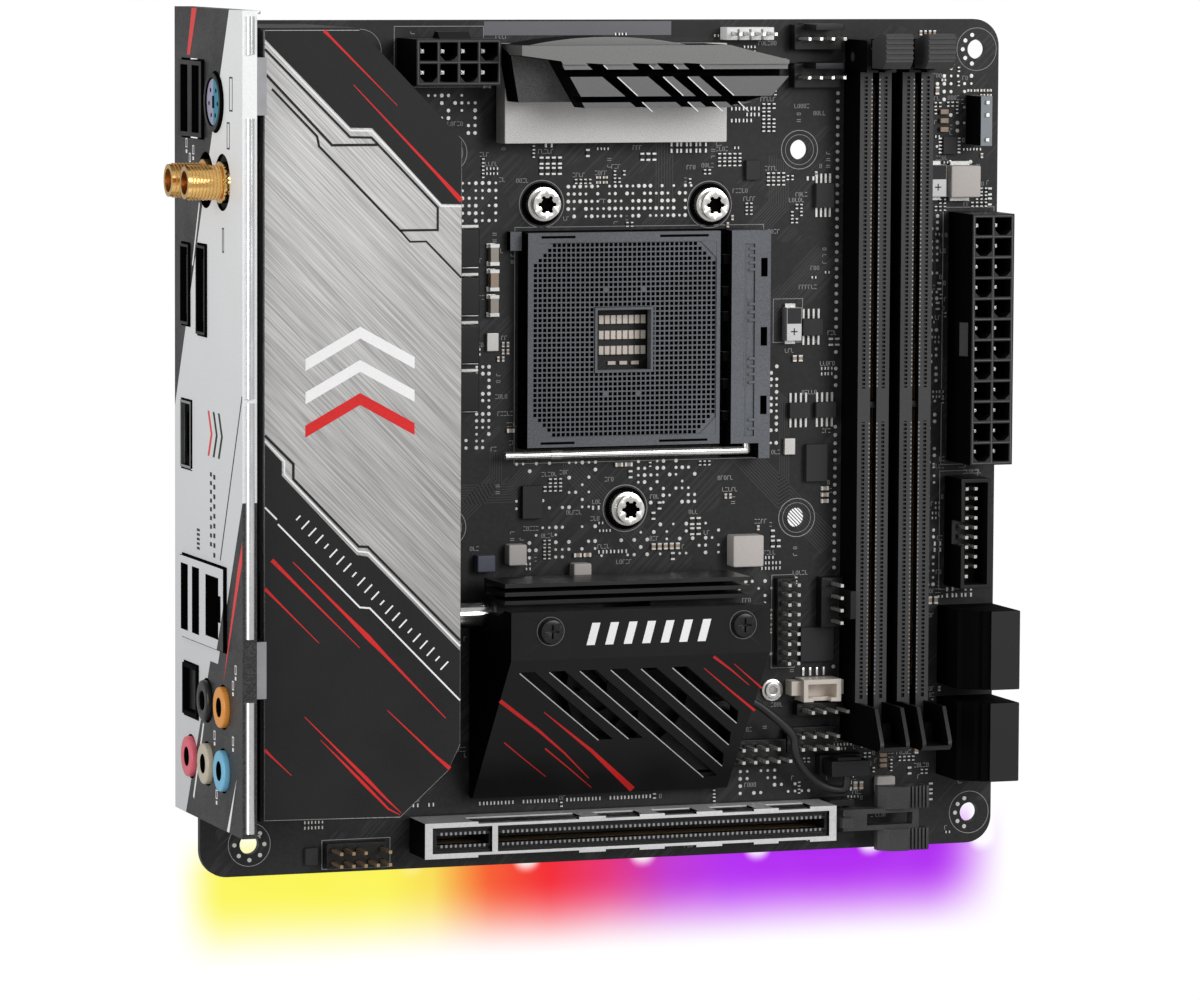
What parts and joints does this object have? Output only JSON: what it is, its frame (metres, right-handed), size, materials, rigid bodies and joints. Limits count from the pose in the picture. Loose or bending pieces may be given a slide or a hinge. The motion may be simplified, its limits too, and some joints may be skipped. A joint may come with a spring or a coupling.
{
  "type": "computer motherboard",
  "caption": "Small square computer motherboard with a rear port panel and cover, finned coolers, a levered processor socket, latched memory sockets and one armoured expansion slot.",
  "frame": {"origin": "centre of the bounding box's bottom face, level with the undersides of the port panel and the socket backplate", "axes": "+Z out of the component side, +X from the port edge to the front edge, +Y along the port edge to the power-stage edge"},
  "size_m": [0.1816, 0.1728, 0.0483],
  "materials": {
    "board": "near-black solder mask",
    "zinc_steel": "zinc-plated sheet",
    "spring_steel": "bright spring strip",
    "cover_plastic": "fine matt black",
    "brushed_plate": "brushed, printed in black",
    "screw_steel": "zinc-plated",
    "black_screw": "black oxide",
    "dark_anodised": "grey-black anodised",
    "bead_blasted": "bead-blasted silver",
    "thermal_pad": "soft grey pad",
    "plated_pipe": "nickel-plated",
    "black_aluminium": "matt black coating",
    "black_plastic": "matt black",
    "fan_plastic": "matt black",
    "cable_sleeve": "black braided sleeve",
    "chip_black": "moulded package",
    "gold_pins": "gold-plated",
    "socket_plastic": "dark slate, fine texture",
    "lever_steel": "bright wire",
    "ceramic": "tinned ceramic chips",
    "backplate_steel": "black coated steel",
    "port_steel": "tinned port shells",
    "tongue_blue": "blue and black insulators",
    "white_plastic": "white and blue-grey",
    "cream_plastic": "cream nylon",
    "brass": "gold-plated brass",
    "jack_colours": "five coloured rings",
    "inductor": "pressed powder core",
    "led_lens": "milky lens"
  },
  "bodies": {
    "board": {"pcb": "board", "io_shield": "zinc_steel", "shield_springs": "spring_steel", "io_cover": "cover_plastic", "io_cover_plate": "brushed_plate", "io_cover_screws": "screw_steel", "vrm_heatsink": "dark_anodised", "vrm_heatsink_base": "bead_blasted", "vrm_thermal_pads": "thermal_pad", "heat_pipe": "plated_pipe", "io_heat_block": "dark_anodised", "chipset_heatsink": "black_aluminium", "chipset_cover": "black_aluminium", "chipset_cover_screws": "black_screw", "chipset_fan_frame": "fan_plastic", "fan_cable": "cable_sleeve", "fan_cable_plug": "black_plastic", "chipset_ic": "chip_black", "header_pins": "gold_pins", "cpu_socket_base": "socket_plastic", "socket_capacitors": "ceramic", "cpu_backplate": "backplate_steel", "backplate_screws": "screw_steel", "dimm_slot_1": "black_plastic", "dimm_slot_2": "black_plastic", "slot_contacts": "gold_pins", "atx_power_socket": "black_plastic", "cpu_power_socket": "black_plastic", "power_pins": "gold_pins", "usb3_header": "black_plastic", "sata_ports": "black_plastic", "pcie_slot": "black_plastic", "pcie_slot_shell": "zinc_steel", "led_headers": "white_plastic", "uart_header": "cream_plastic", "pin_headers": "black_plastic", "m2_socket": "black_plastic", "m2_standoff": "screw_steel", "antenna_jacks": "brass", "antenna_bracket": "zinc_steel", "wifi_module": "port_steel", "usb_ps2_stack": "port_steel", "lan_usb_stack": "port_steel", "display_ports": "black_plastic", "usb_c_port": "port_steel", "port_tongues": "tongue_blue", "optical_port": "black_plastic", "audio_jack_block": "black_plastic", "audio_jack_rings": "jack_colours", "power_inductors": "inductor", "capacitors": "ceramic", "ic_packages": "chip_black", "underglow_leds": "led_lens"},
    "socket_plate": {"cpu_socket_plate": "socket_plastic"},
    "socket_lever": {"cpu_socket_lever": "lever_steel"},
    "memory_latch_1": {"dimm_latch_1": "socket_plastic"},
    "memory_latch_2": {"dimm_latch_2": "socket_plastic"},
    "slot_clip": {"pcie_latch": "socket_plastic"},
    "fan_rotor": {"chipset_fan_rotor": "fan_plastic"},
    "shutter": {"optical_shutter": "black_plastic"}
  },
  "joints": [
    {"name": "lever_hinge", "type": "hinge", "parent": "board", "child": "socket_lever", "pos_m": [0.03475, 0.01765, 0.0076], "axis": [0, 1, 0], "range_deg": [0, 90]},
    {"name": "plate_slide", "type": "slide", "parent": "board", "child": "socket_plate", "axis": [-1, 0, 0], "range_m": [0, 0.0009]},
    {"name": "memory_latch_1_hinge", "type": "hinge", "parent": "board", "child": "memory_latch_1", "pos_m": [0.06015, 0.07615, 0.0082], "axis": [-1, 0, 0], "range_deg": [0, 30]},
    {"name": "memory_latch_2_hinge", "type": "hinge", "parent": "board", "child": "memory_latch_2", "pos_m": [0.06935, 0.07615, 0.0082], "axis": [-1, 0, 0], "range_deg": [0, 30]},
    {"name": "slot_clip_hinge", "type": "hinge", "parent": "board", "child": "slot_clip", "pos_m": [0.05575, -0.07935, 0.0074], "axis": [0, 1, 0], "range_deg": [0, 15]},
    {"name": "fan_spin", "type": "hinge", "parent": "board", "child": "fan_rotor", "pos_m": [0.00875, -0.05035, 0.0096], "axis": [0, 0, 1], "continuous": true},
    {"name": "shutter_hinge", "type": "hinge", "parent": "board", "child": "shutter", "pos_m": [-0.08215, -0.04765, 0.0156], "axis": [0, -1, 0], "range_deg": [0, 75], "stiffness_Nm_per_rad": 0.0001, "springref_deg": -22.92}
  ],
  "couplings": [
    {"joint": "lever_hinge", "follows": "plate_slide", "rad_per_m": 1745}
  ]
}
